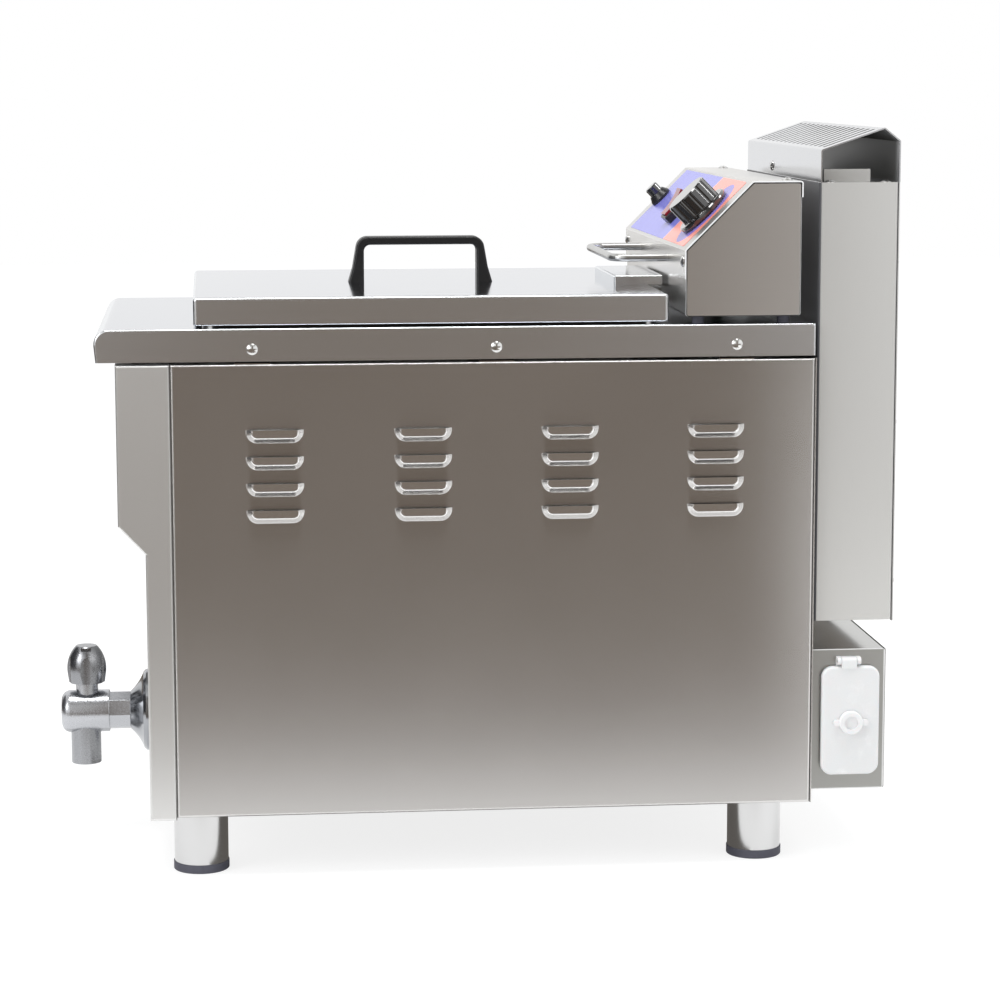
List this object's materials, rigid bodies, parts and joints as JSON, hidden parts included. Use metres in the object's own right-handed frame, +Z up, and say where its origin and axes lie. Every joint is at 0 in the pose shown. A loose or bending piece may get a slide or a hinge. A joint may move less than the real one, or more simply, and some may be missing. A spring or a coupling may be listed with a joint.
{
  "type": "gas deep fryer",
  "caption": "Countertop gas deep fryer: steel cabinet with pressed louvres, oil tank under a lift-off lid, sloped control box, slotted rear flue, drain tap and tube feet.",
  "frame": {"origin": "on the floor, under the middle of the overall box", "axes": "+Z up, -Y towards the front with the drain tap, +X towards the side with the battery cover"},
  "size_m": [0.321, 0.6319, 0.5535],
  "materials": {
    "brushed_steel": "brushed stainless sheet",
    "plated_steel": "zinc plated",
    "chrome": "polished",
    "foot_steel": "polished tube",
    "foot_rubber": "matt",
    "black_plastic": "glossy",
    "handle_plastic": "satin",
    "red_plastic": "translucent red",
    "white_plastic": "satin",
    "label": "printed film",
    "brass": "machined",
    "ceramic": "matt",
    "lead_rubber": "silicone"
  },
  "bodies": {
    "cabinet": {"base_tray": "plated_steel", "basket_hanger": "brushed_steel", "battery_case": "white_plastic", "battery_contacts": "plated_steel", "battery_hinge_pin": "plated_steel", "burner": "plated_steel", "burner_brackets": "plated_steel", "button_collar": "black_plastic", "combustion_jacket": "plated_steel", "control_base": "brushed_steel", "control_end_left": "brushed_steel", "control_end_right": "brushed_steel", "control_label": "label", "control_panel": "brushed_steel", "control_spacers": "foot_rubber", "drain_pipe": "plated_steel", "flue_body": "brushed_steel", "flue_cap": "brushed_steel", "flue_duct": "plated_steel", "flue_rear_cover": "brushed_steel", "foot_caps": "foot_rubber", "foot_front_left": "foot_steel", "foot_front_right": "foot_steel", "foot_rear_left": "foot_steel", "foot_rear_right": "foot_steel", "front_panel": "brushed_steel", "gas_inlet": "brass", "gas_pipe": "plated_steel", "gas_valve": "brass", "igniter_module": "black_plastic", "ignition_lead": "lead_rubber", "injector": "brass", "oil_tank": "brushed_steel", "panel_screws": "chrome", "probe_bracket": "brushed_steel", "rear_box": "brushed_steel", "rear_box_cover": "brushed_steel", "rear_panel": "brushed_steel", "rocker_bezel": "black_plastic", "side_panel_left": "brushed_steel", "side_panel_right": "brushed_steel", "spark_electrode": "ceramic", "tap_body": "chrome", "tap_escutcheon": "chrome", "thermostat_body": "plated_steel", "thermostat_probe": "brushed_steel", "worktop": "brushed_steel"},
    "lid": {"lid_pan": "brushed_steel", "lid_pocket": "brushed_steel", "lid_handle": "handle_plastic", "lid_handle_screws": "chrome"},
    "thermostat_control": {"thermostat_knob": "black_plastic", "thermostat_shaft": "brushed_steel"},
    "switch_rocker": {"rocker": "red_plastic"},
    "ignition": {"ignition_button": "black_plastic"},
    "tap_control": {"tap_handle": "chrome", "tap_stem": "chrome"},
    "battery_door": {"battery_cover": "white_plastic"},
    "battery_turn_latch": {"battery_latch": "white_plastic"}
  },
  "joints": [
    {"name": "lid_draw", "type": "slide", "parent": "cabinet", "child": "lid", "axis": [0, -0.9925, 0.1219], "range_m": [0, 0.36]},
    {"name": "thermostat_turn", "type": "hinge", "parent": "cabinet", "child": "thermostat_control", "pos_m": [0.102, 0.17664, 0.48904], "axis": [0, -0.7071, 0.7071], "range_deg": [-300, 0]},
    {"name": "rocker_tip", "type": "hinge", "parent": "cabinet", "child": "switch_rocker", "pos_m": [0, 0.17395, 0.4889], "axis": [1, 0, 0], "range_deg": [-24, 0]},
    {"name": "ignition_press", "type": "slide", "parent": "cabinet", "child": "ignition", "axis": [0, 0.7071, -0.7071], "range_m": [0, 0.004], "stiffness_N_per_m": 400, "springref_m": -0.001},
    {"name": "tap_turn", "type": "hinge", "parent": "cabinet", "child": "tap_control", "pos_m": [0, -0.296, 0.1265], "axis": [0, 0, 1], "range_deg": [0, 90]},
    {"name": "battery_cover_swing", "type": "hinge", "parent": "cabinet", "child": "battery_door", "pos_m": [0.1546, 0.2798, 0.1551], "axis": [0, -1, 0], "range_deg": [0, 105]},
    {"name": "battery_latch_turn", "type": "hinge", "parent": "battery_door", "child": "battery_turn_latch", "pos_m": [0.1567, 0.2813, 0.1083], "axis": [1, 0, 0], "range_deg": [0, 90]}
  ]
}
